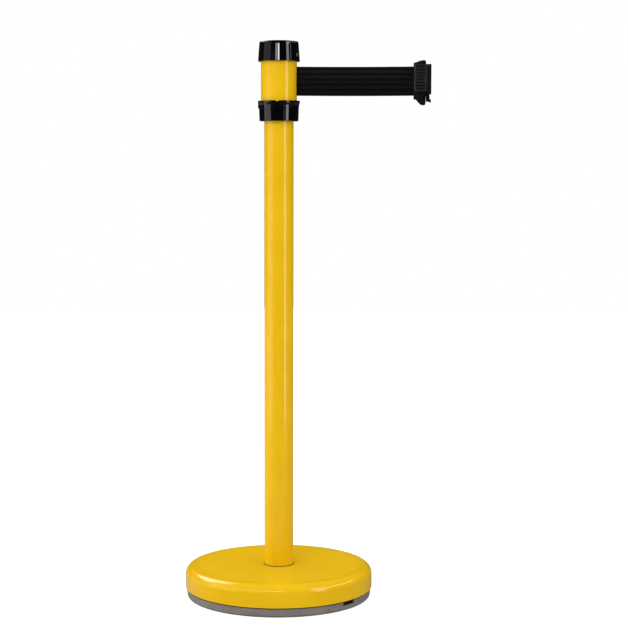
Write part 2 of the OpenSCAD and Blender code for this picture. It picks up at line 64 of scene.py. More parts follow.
camera_tilt = math.radians(5.03)
camera_roll = math.radians(-0.12)

camera = bpy.data.objects.new("camera", bpy.data.cameras.new("camera"))
camera.data.lens = 98.9
camera.data.sensor_width = 36
camera.location = (
    camera_distance * math.sin(camera_side),
    -camera_distance * math.cos(camera_side),
    camera_height,
)
camera.rotation_euler = (math.pi / 2 - camera_tilt, camera_roll, camera_side + camera_turn)
scene.collection.objects.link(camera)
scene.camera = camera

# ---------------------------------------------------------------- base tray
# Grey tray that the weight stands in, injection-moulded from tough matt plastic. It draws
# in towards the floor, and a notch in its rim lets a thumb lift the cover off.
mm = 0.001
tray_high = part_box("base_tray")[1]
tray_rim_r = tray_high.x / mm
tray_h = tray_high.z / mm
tray_foot_r = tray_rim_r - 2
tray_wall = 4
tray_hole_r = 25
notch_angle = math.radians(-37.5)
notch_half = 13.5
notch_floor = tray_h - 7


def rounded(corners, steps=4):
    """A closed outline from corners (across, up, radius), each rounded by an arc."""
    points = []
    for i, (x, y, radius) in enumerate(corners):
        corner = Vector((x, y))
        before = Vector(corners[i - 1][:2]) - corner
        after = Vector(corners[(i + 1) % len(corners)][:2]) - corner
        if radius == 0 or before.length < 1e-6 or after.length < 1e-6:
            points.append((x, y))
            continue
        half = before.angle(after) / 2
        reach = min(radius / math.tan(half), 0.49 * before.length, 0.49 * after.length)
        middle = corner + (before.normalized() + after.normalized()).normalized() * (
            reach / math.cos(half)
        )
        start = corner + before.normalized() * reach - middle
        end = corner + after.normalized() * reach - middle
        turn = math.atan2(start.x * end.y - start.y * end.x, start.dot(end))
        for k in range(steps + 1):
            spoke = Matrix.Rotation(turn * k / steps, 2) @ start
            points.append(tuple(middle + spoke))
    return points


def columns(turns, places=(), offsets=(), radius=1.0):
    """Angles round the axis: even ones, and closer ones beside each place."""
    angles = {round(2 * math.pi * i / turns, 6) for i in range(turns)}
    for place in places:
        for offset in offsets:
            for side in (-1, 1):
                angle = place + side * math.asin(offset / radius)
                angles.add(round(angle % (2 * math.pi), 6))
    return sorted(angles)


def piece(name, bm, sharp=35):
    """An object from a finished mesh, shaded smooth except across sharp edges."""
    bmesh.ops.remove_doubles(bm, verts=bm.verts, dist=1e-6)
    bmesh.ops.recalc_face_normals(bm, faces=bm.faces)
    for edge in bm.edges:
        edge.smooth = edge.is_manifold and edge.calc_face_angle(0) < math.radians(sharp)
    for face in bm.faces:
        face.smooth = True
    mesh = bpy.data.meshes.new(name)
    bm.to_mesh(mesh)
    bm.free()
    made = bpy.data.objects.new(name, mesh)
    scene.collection.objects.link(made)
    shading = made.modifiers.new("even_shading", "WEIGHTED_NORMAL")
    shading.keep_sharp = True
    return made


def turned(outline, angles=192, form=None, bm=None):
    """A closed half outline (radius, height) in millimetres, revolved about the Z axis."""
    bm = bm or bmesh.new()
    if isinstance(angles, int):
        angles = columns(angles)
    rings = []
    for angle in angles:
        ring = []
        for r, z in outline:
            if form:
                r, z = form(r, z, angle)
            ring.append(bm.verts.new((r * math.cos(angle) * mm, r * math.sin(angle) * mm, z * mm)))
        rings.append(ring)
    for i, ring in enumerate(rings):
        following = rings[(i + 1) % len(rings)]
        for k in range(len(outline)):
            m = (k + 1) % len(outline)
            bm.faces.new((ring[k], following[k], following[m], ring[m]))
    return bm


def aside(angle, place):
    """How far an angle lies from a place, the short way round."""
    return (angle - place + math.pi) % (2 * math.pi) - math.pi


def tray_form(r, z, angle):
    """The thumb notch: the wall stops at the notch's floor."""
    turn = aside(angle, notch_angle)
    inside = abs(turn) < 1 and abs(math.sin(turn)) * tray_rim_r < notch_half
    return r, min(z, notch_floor) if inside else z


tray_lean = (tray_rim_r - tray_foot_r) / tray_h
tray_outline = rounded([
    (tray_hole_r, 0, 0.5), (108, 0, 0.2), (108.5, 0.5, 0.2), (111.5, 0.5, 0.2), (112, 0, 0.2),
    (128, 0, 0.2), (128.5, 0.5, 0.2), (131.5, 0.5, 0.2), (132, 0, 0.2),
    (tray_foot_r, 0, 8),
    (tray_foot_r + tray_lean * notch_floor, notch_floor - 0.04, 0),
    (tray_foot_r + tray_lean * notch_floor, notch_floor + 0.04, 0),
    (tray_rim_r, tray_h, 0.8), (tray_rim_r - tray_wall, tray_h, 0.4),
    (tray_foot_r - tray_wall, tray_wall, 2), (tray_hole_r, tray_wall, 0.5),
], 7)
tray_angles = columns(256, [notch_angle], [notch_half - 0.2, notch_half + 0.2, 9, 4.5], tray_rim_r)
base_tray = piece("base_tray_moulding", turned(tray_outline, tray_angles, tray_form))


def put(tree, kind, inputs=None, **settings):
    """A shader node with its settings and inputs; an input is a value or another output."""
    made = tree.nodes.new(kind)
    for label, value in settings.items():
        setattr(made, label, value)
    for label, value in (inputs or {}).items():
        if isinstance(value, bpy.types.NodeSocket):
            tree.links.new(value, made.inputs[label])
        else:
            made.inputs[label].default_value = value
    return made


def effect(name, inputs, outputs):
    """An empty node group, with its inputs and outputs to wire."""
    tree = bpy.data.node_groups.new(name, "ShaderNodeTree")
    for label, kind, value in inputs:
        tree.interface.new_socket(label, in_out="INPUT", socket_type=kind).default_value = value
    for label, kind in outputs:
        tree.interface.new_socket(label, in_out="OUTPUT", socket_type=kind)
    return tree, put(tree, "NodeGroupInput").outputs, put(tree, "NodeGroupOutput").inputs


def blended(tree, share, first, second):
    """A colour that goes from the first to the second with the share."""
    mixed = put(tree, "ShaderNodeMix", data_type="RGBA")
    for socket, value in ((0, share), (6, first), (7, second)):
        if isinstance(value, bpy.types.NodeSocket):
            tree.links.new(value, mixed.inputs[socket])
        else:
            mixed.inputs[socket].default_value = value
    return mixed.outputs[2]


def ranged(tree, value, low, high, to_low, to_high):
    """A value carried from one range to another, held at its ends."""
    return put(tree, "ShaderNodeMapRange", {
        "Value": value, "From Min": low, "From Max": high, "To Min": to_low, "To Max": to_high,
    }).outputs[0]


def worked(tree, operation, first, second=None):
    """One step of arithmetic between values."""
    step = put(tree, "ShaderNodeMath", operation=operation)
    for socket, value in ((0, first), (1, second)):
        if isinstance(value, bpy.types.NodeSocket):
            tree.links.new(value, step.inputs[socket])
        elif value is not None:
            step.inputs[socket].default_value = value
    return step.outputs[0]


def place_on(tree):
    """The place on the piece that is being shaded."""
    return put(tree, "ShaderNodeTexCoord").outputs["Object"]


def parts_of_place(tree):
    """That place's x, y and z."""
    return put(tree, "ShaderNodeSeparateXYZ", {0: place_on(tree)}).outputs


def lies_along(tree, direction):
    """How far that place lies in a direction."""
    return put(tree, "ShaderNodeVectorMath", {0: place_on(tree), 1: direction},
               operation="DOT_PRODUCT").outputs["Value"]


def roughened(tree, shader, depth, height):
    """Fine relief on a surface, its depth in millimetres."""
    bump = put(tree, "ShaderNodeBump", {"Strength": 1.0, "Distance": depth * mm, "Height": height})
    tree.links.new(bump.outputs[0], shader["Normal"])


def cloud(tree, size, detail=2.0, stretch=(1, 1, 1)):
    """Soft random variation over the piece, its patches as large as size, in millimetres."""
    scale = [1 / (mm * size) / s for s in stretch]
    scaled = put(tree, "ShaderNodeVectorMath", {0: place_on(tree), 1: scale}, operation="MULTIPLY")
    return put(tree, "ShaderNodeTexNoise", {
        "Vector": scaled.outputs[0], "Scale": 1.0, "Detail": detail, "Roughness": 0.55,
    }).outputs[0]


def tone(red, green, blue):
    """A paint-chart colour, 0 to 255, as the shader takes it."""
    def linear(part):
        part /= 255
        return part / 12.92 if part <= 0.04045 else ((part + 0.055) / 1.055) ** 2.4
    return (linear(red), linear(green), linear(blue), 1)


# Grain of a spark-eroded mould: the fine height that makes moulded plastic matt
grain_group, taken, given = effect(
    "mould_grain", [("Patchiness", "NodeSocketFloat", 0.5)],
    [("Height", "NodeSocketFloat"), ("Patches", "NodeSocketFloat")])
grain_group.links.new(cloud(grain_group, 0.35, 3), given["Height"])
grain_group.links.new(
    worked(grain_group, "MULTIPLY", ranged(grain_group, cloud(grain_group, 22, 3), 0.3, 0.7, 0, 1),
           taken["Patchiness"]), given["Patches"])

# Marks of use: pale scuffs in short streaks, and floor dust that thins out upwards
use_group, taken, given = effect(
    "marks_of_use",
    [("Clean Colour", "NodeSocketColor", (1, 1, 1, 1)), ("Dust Colour", "NodeSocketColor", (1, 1, 1, 1)),
     ("Scuffs", "NodeSocketFloat", 0.2), ("Dust", "NodeSocketFloat", 0.2),
     ("Dust Height", "NodeSocketFloat", 0.05)],
    [("Colour", "NodeSocketColor"), ("Marks", "NodeSocketFloat")])
streaks = ranged(use_group, cloud(use_group, 1.2, 2, (9, 9, 0.5)), 0.66, 0.74, 0, 1)
where = ranged(use_group, cloud(use_group, 26, 2), 0.48, 0.66, 0, 1)
scuffs = worked(use_group, "MULTIPLY", worked(use_group, "MULTIPLY", streaks, where), taken["Scuffs"])
height = parts_of_place(use_group)[2]
low_down = worked(use_group, "SUBTRACT", 1.0, worked(use_group, "DIVIDE", height, taken["Dust Height"]))
settled = worked(use_group, "MULTIPLY", worked(use_group, "MAXIMUM", low_down, 0.0),
                 ranged(use_group, cloud(use_group, 9, 4), 0.35, 0.75, 0, 1))
dust = worked(use_group, "MULTIPLY", settled, taken["Dust"])
marks = worked(use_group, "MINIMUM", worked(use_group, "ADD", scuffs, dust), 1.0)
use_group.links.new(blended(use_group, marks, taken["Clean Colour"], taken["Dust Colour"]), given["Colour"])
use_group.links.new(marks, given["Marks"])


def finish(name, rough, metal=0.0, **plain):
    """A new material: its node tree and its shader's inputs."""
    made = bpy.data.materials.new(name)
    made.use_nodes = True
    shader = made.node_tree.nodes["Principled BSDF"].inputs
    shader["Roughness"].default_value = rough
    shader["Metallic"].default_value = metal
    for label, value in plain.items():
        shader[label.replace("_", " ")].default_value = value
    return made, made.node_tree, shader


def moulded(name, colour, pale, rough, relief, scuffs=0.2, dust=0.0, dust_height=0.05, patches=0.06):
    """Matt moulded plastic or rubber: grain, uneven tone, scuffs and dust."""
    made, tree, shader = finish(name, rough)
    grain = put(tree, "ShaderNodeGroup", {"Patchiness": 1.0}, node_tree=grain_group).outputs
    base = blended(tree, worked(tree, "MULTIPLY", grain["Patches"], patches), colour, pale)
    used = put(tree, "ShaderNodeGroup", {
        "Clean Colour": base, "Dust Colour": pale, "Scuffs": scuffs, "Dust": dust,
        "Dust Height": dust_height,
    }, node_tree=use_group).outputs
    tree.links.new(used["Colour"], shader["Base Color"])
    tree.links.new(ranged(tree, grain["Patches"], 0, 1, rough - 0.03, rough + 0.05), shader["Roughness"])
    roughened(tree, shader, relief, grain["Height"])
    return made


grey_plastic = moulded("grey_moulded_plastic", tone(122, 115, 111), tone(160, 155, 150), 0.5, 0.006,
                       scuffs=0.5, dust=0.35, dust_height=0.02, patches=0.2)
tree = grey_plastic.node_tree
shader = tree.nodes["Principled BSDF"].inputs
height = parts_of_place(tree)[2]
plain = shader["Base Color"].links[0].from_socket

# Painted shade: a dark line on the tray just under the cover's hem, and painted shade inside the thumb notch,
# darkest in its middle
hem_shade = ranged(tree, height, (tray_h - 2.6) * mm, (tray_h - 1.4) * mm, 0, 0.85)
with_hem_shade = blended(tree, hem_shade, plain, tone(54, 42, 22))
across_notch = lies_along(tree, (-math.sin(notch_angle), math.cos(notch_angle), 0))
out_of_notch = lies_along(tree, (math.cos(notch_angle), math.sin(notch_angle), 0))
in_width = worked(tree, "LESS_THAN", worked(tree, "ABSOLUTE", across_notch), (notch_half + 0.3) * mm)
in_height = worked(tree, "GREATER_THAN", height, (notch_floor - 0.3) * mm)
on_its_side = worked(tree, "GREATER_THAN", out_of_notch, 0.0)
in_notch = worked(tree, "MULTIPLY", worked(tree, "MULTIPLY", in_width, in_height), on_its_side)
# Painted shade fills the notch, darker towards its middle
notch_shade = worked(tree, "MULTIPLY", in_notch, ranged(tree, across_notch, 0.0, notch_half * mm, 0.97, 0.5))
tree.links.new(blended(tree, notch_shade, with_hem_shade, tone(16, 13, 9)), shader["Base Color"])
base_tray.data.materials.append(grey_plastic)
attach(base_tray, "stand")
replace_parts(base_tray, "base_tray")

# ---------------------------------------------------------------- weight and anchor bolt
# A disc of cast concrete under the cover gives the post its stand. One galvanised bolt with
# a wide washer comes up through the weight and screws into the plug in the post's foot.
washer_low, washer_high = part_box("anchor_washer")
bolt_low, bolt_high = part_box("anchor_bolt")
bolt_r = 6
bolt_corner_r = bolt_high.y / mm
bolt_across = bolt_corner_r * math.cos(math.radians(30))
bolt_head_h = 6
thread_pitch = 1.75
thread_from = 13
rim_shade_from, rim_shade_to = 100, 140


def from_axis(tree):
    """How far the place being shaded lies from the post's axis."""
    flat = put(tree, "ShaderNodeVectorMath", {0: place_on(tree), 1: (1, 1, 0)}, operation="MULTIPLY")
    return put(tree, "ShaderNodeVectorMath", {0: flat.outputs[0]}, operation="LENGTH").outputs["Value"]


concrete, tree, shader = finish("cast_concrete", 0.9)
sand = cloud(tree, 1.1, 6)
shades = ranged(tree, cloud(tree, 7, 5), 0.3, 0.7, 0, 1)
cast = blended(tree, shades, tone(150, 147, 141), tone(178, 175, 168))
# Painted shade: the weight turns near black towards its outer rim, where the cover's edge shades it
painted_rim_shade = ranged(tree, from_axis(tree), rim_shade_from * mm, rim_shade_to * mm, 0, 0.95)
tree.links.new(blended(tree, painted_rim_shade, cast, tone(22, 18, 13)), shader["Base Color"])
roughened(tree, shader, 0.25, sand)


def dressed(name, material):
    """A node of the working model that stays in sight, in its own finish."""
    cad[name].data.materials.clear()
    cad[name].data.materials.append(material)


dressed("ballast", concrete)

# Marks of the tool on turned or drawn metal, as fine rings about the Z axis
tool_group, taken, given = effect(
    "tool_marks", [("Pitch", "NodeSocketFloat", 0.2)],
    [("Height", "NodeSocketFloat"), ("Dullness", "NodeSocketFloat")])
turning = worked(tool_group, "MULTIPLY", parts_of_place(tool_group)[2], 2 * math.pi / mm)
lines = worked(tool_group, "SINE", worked(tool_group, "DIVIDE", turning, taken["Pitch"]))
tool_group.links.new(lines, given["Height"])
tool_group.links.new(ranged(tool_group, cloud(tool_group, 3, 3), 0.3, 0.7, 0, 1), given["Dullness"])


def metal(name, colour, stain, rough, pitch):
    """Bare or plated metal with tool marks and uneven dullness."""
    made, tree, shader = finish(name, rough, 1.0)
    tool = put(tree, "ShaderNodeGroup", {"Pitch": pitch}, node_tree=tool_group).outputs
    tree.links.new(blended(tree, worked(tree, "MULTIPLY", tool["Dullness"], 0.5), colour, stain),
                   shader["Base Color"])
    tree.links.new(ranged(tree, tool["Dullness"], 0, 1, rough - 0.06, rough + 0.1), shader["Roughness"])
    roughened(tree, shader, 0.001, tool["Height"])
    return made


zinc = metal("zinc_plated_steel", tone(205, 207, 210), tone(172, 172, 168), 0.3, 0.3)
steel = metal("turned_steel", tone(190, 190, 192), tone(150, 150, 152), 0.28, 0.15)
dressed("foot_plug", steel)
dressed("neck_plug", steel)

washer = piece("anchor_washer_pressed", turned(rounded([
    (bolt_r + 0.5, washer_low.z / mm, 0.2), (washer_high.x / mm, washer_low.z / mm, 0.3),
    (washer_high.x / mm, washer_high.z / mm, 0.6), (bolt_r + 0.5, washer_high.z / mm, 0.4),
]), 96))
washer.data.materials.append(zinc)
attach(washer, "stand")
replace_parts(washer, "anchor_washer")


def hexagon(across, low, high, chamfer):
    """A six-sided head whose ends are turned to a cone."""
    steps = 12
    corner = across / math.cos(math.radians(30))

    def form(r, z, angle):
        if r <= 0.01:
            return r, z
        flat = across / math.cos((angle + math.radians(30)) % math.radians(60) - math.radians(30))
        return min(r * corner, flat) if r < 1.001 else flat, z

    face = (across - 0.3) / corner
    outline = [(0, low), (face, low), (1, low + chamfer), (1, high - chamfer), (face, high), (0, high)]
    return turned(outline, 6 * steps, form)


bolt_mesh = hexagon(bolt_across, bolt_low.z / mm, bolt_low.z / mm + bolt_head_h, 0.8)
turns_of_thread = int((bolt_high.z / mm - thread_from - 1) / thread_pitch)
shank = [(0, bolt_low.z / mm + bolt_head_h), (bolt_r - 0.1, bolt_low.z / mm + bolt_head_h)]
for i in range(turns_of_thread):
    z = thread_from + i * thread_pitch
    shank += [(bolt_r - 0.1, z), (bolt_r - 0.9, z + thread_pitch / 2)]
shank += [(bolt_r - 1, bolt_high.z / mm), (0, bolt_high.z / mm)]
bolt = piece("anchor_bolt_threaded", turned(shank, 48, None, bolt_mesh))
bolt.data.materials.append(zinc)
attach(bolt, "stand")
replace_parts(bolt, "anchor_bolt")

# ---------------------------------------------------------------- base cover
# Deep-drawn steel cover over the weight, with a wide rolled shoulder and a hemmed lower
# edge. It is powder-coated in a glossy signal yellow, as the tubes are.
cover_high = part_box("base_cover")[1]
cover_r = cover_high.x / mm
cover_top = cover_high.z / mm
cover_t = 1.2
shoulder_r = 15
hem_r = 0.8
post_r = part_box("post_tube")[1].x / mm
cover_hole_r = post_r + 0.4
lip_r = tray_rim_r - 7


def arc(cx, cy, r, start, end, steps):
    """Points of a round stretch of outline, the angles in degrees."""
    return [(cx + r * math.cos(math.radians(start + (end - start) * i / steps)),
             cy + r * math.sin(math.radians(start + (end - start) * i / steps)))
            for i in range(steps + 1)]


shoulder = (cover_r - shoulder_r, cover_top - shoulder_r)
cover_outline = (
    [(lip_r, tray_h + 0.02)]
    + arc(cover_r - hem_r, tray_h + hem_r, hem_r, -90, 0, 8)
    + arc(*shoulder, shoulder_r, 0, 90, 36)
    + [(r, cover_top) for r in (130, 90, 55, 34)]
    + [(cover_hole_r + 0.5, cover_top), (cover_hole_r, cover_top - 0.4), (cover_hole_r, cover_top - cover_t)]
    + arc(*shoulder, shoulder_r - cover_t, 90, 0, 16)
    + [(cover_r - cover_t, tray_h + cover_t + 0.6), (lip_r, tray_h + cover_t)]
)
base_cover = piece("base_cover_drawn", turned(cover_outline, 320))


def powder_coat(name, dulled=0.0, shiny_from=0.0):
    """Glossy powder coat; inside the radius shiny_from, in millimetres, it is dulled by wear."""
    made, tree, shader = finish(name, 0.5, Specular_IOR_Level=0.0, Coat_Weight=1.0, Coat_Roughness=0.12)
    flow = ranged(tree, cloud(tree, 55, 2), 0.35, 0.65, 0, 1)
    coated = put(tree, "ShaderNodeGroup", {
        "Clean Colour": blended(tree, flow, tone(229, 180, 12), tone(233, 186, 15)),
        "Dust Colour": tone(214, 186, 110), "Scuffs": 0.1, "Dust": 0.02, "Dust Height": 0.07,
    }, node_tree=use_group).outputs
    worn = ranged(tree, from_axis(tree), shiny_from * 0.84 * mm, shiny_from * mm, dulled, 0.0)
    tree.links.new(blended(tree, worn, coated["Colour"], tone(218, 176, 28)), shader["Base Color"])
    marked = worked(tree, "MULTIPLY", coated["Marks"], 0.6)
    unworn = worked(tree, "SUBTRACT", 1.0, worn)
    tree.links.new(worked(tree, "SUBTRACT", unworn, marked), shader["Coat Weight"])
    roughened(tree, shader, 0.002, cloud(tree, 2.4, 2))
    return made


yellow = powder_coat("signal_yellow_powder_coat")
base_cover.data.materials.append(powder_coat("yellow_powder_coat_worn", 0.82, cover_r - 4))
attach(base_cover, "stand")
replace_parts(base_cover, "base_cover")

# ---------------------------------------------------------------- cover seal
# Thin ring of black rubber pushed down the post, which closes the gap in the cover.
seal_low, seal_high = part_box("cover_seal")
rubber = moulded("black_rubber", tone(52, 40, 16), tone(90, 76, 44), 0.6, 0.008, dust=0.1, dust_height=0.08)
seal = piece("cover_seal_ring", turned(
    [(post_r + 0.12, seal_low.z / mm)]
    + arc(seal_high.x / mm - 1.2, seal_low.z / mm + 0.5, 0.5, 0, 80, 5)
    + [(post_r + 0.35, seal_high.z / mm - 0.9), (post_r + 0.12, seal_high.z / mm - 1.0)], 160))
seal.data.materials.append(rubber)
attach(seal, "stand")
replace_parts(seal, "cover_seal")

# ---------------------------------------------------------------- post tube
# Straight steel tube, powder-coated. Its foot stands in the weight on the bolt's plug, and
# its top takes the collar's spigot.
post_low, post_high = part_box("post_tube")
tube_wall = 1.5
post_steps = 6
post_long = (post_high.z - post_low.z) / mm
post = piece("post_tube_coated", turned(rounded([
    (post_r - tube_wall, post_low.z / mm, 0.3), (post_r, post_low.z / mm, 0.3),
    *[(post_r, post_low.z / mm + post_long * i / post_steps, 0) for i in range(1, post_steps)],
    (post_r, post_high.z / mm, 0.3), (post_r - tube_wall, post_high.z / mm, 0.3),
], 3), 192))
post.data.materials.append(yellow)
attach(post, "stand")
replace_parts(post, "post_tube")

# ---------------------------------------------------------------- collar
# Glossy black moulding between post and head. Its rim stands clear of the head tube and so
# forms a cup, and three slots with flared mouths take the hook of another post's belt.
collar_low, collar_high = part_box("collar")
rim_z = collar_high.z / mm
rim_r = collar_high.x / mm
rim_in = rim_r - 1.7
head_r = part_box("head_tube")[1].x / mm
seat_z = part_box("head_tube")[0].z / mm
cup_z = rim_z - 14.7
liner_r = head_r + 0.8
liner_top = rim_z - 1.6
collar_foot = rim_z - 35
pocket_z = post_high.z / mm
spigot_r = post_r - tube_wall - 0.2
spindle_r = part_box("spindle")[1].x / mm
receivers = [math.radians(angle) for angle in (90, 180, 270)]
slot_half = 1.3
slot_floor = rim_z - 13
mouth_depth = 1.4
mouth_flare = 0.6


def collar_form(r, z, angle):
    """The hook slots: above the cup's seat the rim drops to a slot with a flared mouth."""
    for receiver in receivers:
        turn = aside(angle, receiver)
        off = abs(math.sin(turn)) * rim_r
        if abs(turn) < 1 and r > rim_in - 1 and z > slot_floor:
            if off < slot_half:
                z = slot_floor
            else:
                z = min(z, rim_z - mouth_depth + mouth_flare * (off - slot_half))
    return r, z


flare_end = slot_half + mouth_depth / mouth_flare
collar_outline = rounded([
    (head_r + 0.2, seat_z, 0.3), (head_r + 0.2, liner_top, 0.1), (liner_r, liner_top, 0.2),
    (liner_r, cup_z, 0.6), (rim_in, cup_z, 1.0),
    (rim_in, slot_floor + 0.03, 0), (rim_in, rim_z - 5, 0), (rim_in, rim_z, 0.6), (rim_r, rim_z, 0.6),
    (rim_r, rim_z - 3.2, 1.2), (rim_r - 1.25, rim_z - 7.5, 3), (rim_r - 1.7, rim_z - 11.5, 2),
    (rim_r - 1.72, slot_floor + 0.03, 0),
    (rim_r - 2.6, collar_foot, 0.8), (post_r + 0.2, collar_foot, 0.3),
    (post_r + 0.2, pocket_z, 0.2), (spigot_r, pocket_z, 0.2), (spigot_r, collar_low.z / mm, 0.6),
    (spigot_r - 2.5, collar_low.z / mm, 0.4), (spigot_r - 2.5, pocket_z, 1), (spindle_r + 0.2, pocket_z, 0.2),
    (spindle_r + 0.2, seat_z, 0.3),
], 5)
collar_angles = columns(240, receivers, [
    0.6, slot_half - 0.06, slot_half + 0.06, 1.9, 2.6, 3.2, flare_end, flare_end + 0.3, 4.6], rim_r)
collar = piece("collar_moulding", turned(collar_outline, collar_angles, collar_form))

gloss_black, tree, shader = finish("gloss_black_plastic", 0.06, Specular_IOR_Level=0.7)
used = put(tree, "ShaderNodeGroup", {
    "Clean Colour": tone(3, 3, 5), "Dust Colour": tone(58, 56, 58), "Scuffs": 0.05, "Dust": 0.0,
    "Dust Height": 1.0,
}, node_tree=use_group).outputs
waves = cloud(tree, 14, 1)
unevenness = ranged(tree, cloud(tree, 18, 3), 0.3, 0.7, 0.045, 0.075)
tree.links.new(used["Colour"], shader["Base Color"])
marked = worked(tree, "MULTIPLY", used["Marks"], 0.5)
tree.links.new(worked(tree, "ADD", unevenness, marked), shader["Roughness"])
roughened(tree, shader, 0.002, waves)
collar.data.materials.append(gloss_black)
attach(collar, "stand")
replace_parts(collar, "collar")

# ---------------------------------------------------------------- head tube
# Short length of wider steel tube round the reel, powder-coated like the post. An upright
# slot on its belt side lets the belt out, and two screws from the cap go through its wall.
head_low, head_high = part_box("head_tube")
guide_low, guide_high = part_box("belt_guide")
belt_low, belt_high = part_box("belt_strap")
belt_z = (belt_low.z + belt_high.z) / 2 / mm
cap_low, cap_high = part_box("cap")
screw_low, screw_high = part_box("cap_screws")
screw_z = (screw_low.z + screw_high.z) / 2 / mm
screw_angles = [math.radians(-20), math.radians(160)]
head_in = head_r - tube_wall


def cut(target, cutter):
    """Takes one solid out of another, for good."""
    tool = target.modifiers.new("cut", "BOOLEAN")
    tool.object = cutter
    tool.solver = "EXACT"
    target.modifiers.move(len(target.modifiers) - 1, 0)
    shading = target.modifiers["even_shading"]
    shading.show_viewport = False
    made = bpy.data.meshes.new_from_object(target.evaluated_get(bpy.context.evaluated_depsgraph_get()))
    shading.show_viewport = True
    target.modifiers.remove(tool)
    bm = bmesh.new()
    bm.from_mesh(made)
    for edge in bm.edges:
        edge.smooth = edge.is_manifold and edge.calc_face_angle(0) < math.radians(35)
    for face in bm.faces:
        face.smooth = True
    bm.to_mesh(target.data)
    bm.free()
    bpy.data.meshes.remove(made)
    bpy.data.objects.remove(cutter)


def block(low, high, bevel=0.0, turn=0.0, steps=2):
    """A box between two corners in millimetres, its edges rounded, turned about Z."""
    bm = bmesh.new()
    bmesh.ops.create_cube(bm, size=1)
    for vert in bm.verts:
        for i in range(3):
            vert.co[i] = (low[i] + high[i]) / 2 * mm + vert.co[i] * (high[i] - low[i]) * mm
    if bevel:
        bmesh.ops.bevel(bm, geom=bm.edges, offset=bevel * mm, segments=steps, profile=0.5, affect="EDGES")
    bmesh.ops.rotate(bm, verts=bm.verts, matrix=Matrix.Rotation(turn, 3, "Z"))
    return bm


def outward(bm, angle, z):
    """Turns a solid made along Z to point out from the axis at that angle and height."""
    laid = Matrix.Rotation(angle, 4, "Z") @ Matrix.Rotation(math.pi / 2, 4, "Y")
    bmesh.ops.transform(bm, verts=bm.verts, matrix=Matrix.Translation((0, 0, z * mm)) @ laid)
    return bm


slot_half_wide = 4
slot_low = belt_z - 27
slot_high = belt_z + 27
head = piece("head_tube_coated", turned(rounded([
    (head_in, head_low.z / mm, 0.3), (head_r, head_low.z / mm, 0.3),
    (head_r, slot_low - 3, 0), (head_r, slot_high + 3, 0),
    (head_r, head_high.z / mm, 0.4), (head_in, head_high.z / mm, 0.3),
    (head_in, slot_high + 3, 0), (head_in, slot_low - 3, 0),
], 3), 192))
cut(head, piece("slot_cutter", block(
    (head_in - 3, -slot_half_wide, slot_low), (head_r + 5, slot_half_wide, slot_high), 0.8)))
screw_hole_r = 2.2
screw_hole = [(0, head_in - 2), (screw_hole_r, head_in - 2), (screw_hole_r, head_r + 3), (0, head_r + 3)]
for angle in screw_angles:
    cut(head, piece("hole_cutter", outward(turned(screw_hole, 32), angle, screw_z)))
head.data.materials.append(yellow)
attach(head, "stand")
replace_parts(head, "head_tube")

# ---------------------------------------------------------------- belt guide
# Black moulded frame snapped into the tube's slot. Its rounded lips keep the belt off the
# cut edge of the steel.
guide_half = 3.8
guide_mouth = 1.1
mouth_half_long = 25.6


def join(bm, part):
    """Adds one solid to another."""
    spare = bpy.data.meshes.new("part")
    part.to_mesh(spare)
    part.free()
    bm.from_mesh(spare)
    bpy.data.meshes.remove(spare)


guide = piece("belt_guide_frame", block(
    (guide_low.x / mm, -guide_half, guide_low.z / mm + 0.8),
    (head_r + 0.02, guide_half, guide_high.z / mm - 0.8), 0.35))
cut(guide, piece("mouth_cutter", block(
    (guide_low.x / mm - 3, -guide_mouth, belt_z - mouth_half_long),
    (head_r + 3, guide_mouth, belt_z + mouth_half_long), 0.3)))
bm = bmesh.new()
bm.from_mesh(guide.data)
for vert in bm.verts:
    across = vert.co.x / mm - guide_low.x / mm
    reach = head_r - guide_low.x / mm
    bulge = math.sqrt(head_r ** 2 - (vert.co.y / mm) ** 2) - head_r
    vert.co.x += bulge * across / reach * mm
flange_low, flange_high = guide_low.z / mm, guide_high.z / mm
for y0, y1 in ((-guide_half - 1.6, -guide_half + 0.6), (guide_half - 0.6, guide_half + 1.6)):
    join(bm, block((guide_low.x / mm, y0, flange_low), (guide_low.x / mm + 1, y1, flange_high), 0.2))
bpy.data.objects.remove(guide)
guide = piece("belt_guide_frame", bm)
matt_black = moulded("matt_black_plastic", tone(9, 8, 9), tone(46, 44, 44), 0.18, 0.001, scuffs=0.08,
                     patches=0.03)
matt_black.node_tree.nodes["Principled BSDF"].inputs["Specular IOR Level"].default_value = 0.25
guide.data.materials.append(matt_black)
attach(guide, "stand")
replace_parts(guide, "belt_guide")

# ---------------------------------------------------------------- reel, spring and brake
# Inside the head a nylon reel runs on a steel spindle. A flat spiral spring pulls the belt
# in, and two lined shoes fly out against a die-cast drum when it runs in too fast.
nylon = moulded("natural_nylon", tone(222, 219, 208), tone(240, 238, 230), 0.45, 0.004, scuffs=0.1)
housing_nylon = moulded("dark_nylon", tone(48, 48, 52), tone(84, 84, 88), 0.45, 0.004, scuffs=0.1)
lining_stuff = moulded("brake_lining", tone(82, 70, 60), tone(128, 112, 96), 0.85, 0.03, scuffs=0.2)
cast_metal = metal("die_cast_alloy", tone(164, 166, 170), tone(132, 134, 138), 0.45, 0.6)
spring_steel = metal("blued_spring_steel", tone(92, 98, 114), tone(66, 68, 78), 0.3, 0.25)
bronze = metal("sintered_bronze", tone(196, 150, 82), tone(150, 112, 60), 0.4, 0.25)
for name in ("spindle", "reel_arbor", "spring_cover", "brake_carrier"):
    dressed(name, steel)
for name in ("spindle_washer", "spindle_nuts", "brake_pins", "belt_bar"):
    dressed(name, zinc)
for name in ("brake_drum", "brake_shoe_a", "brake_shoe_b"):
    dressed(name, cast_metal)
for name in ("power_spring", "shoe_springs"):
    dressed(name, spring_steel)
for name in ("brake_lining_a", "brake_lining_b"):
    dressed(name, lining_stuff)
dressed("reel", nylon)
dressed("spring_housing", housing_nylon)
dressed("reel_bushes", bronze)

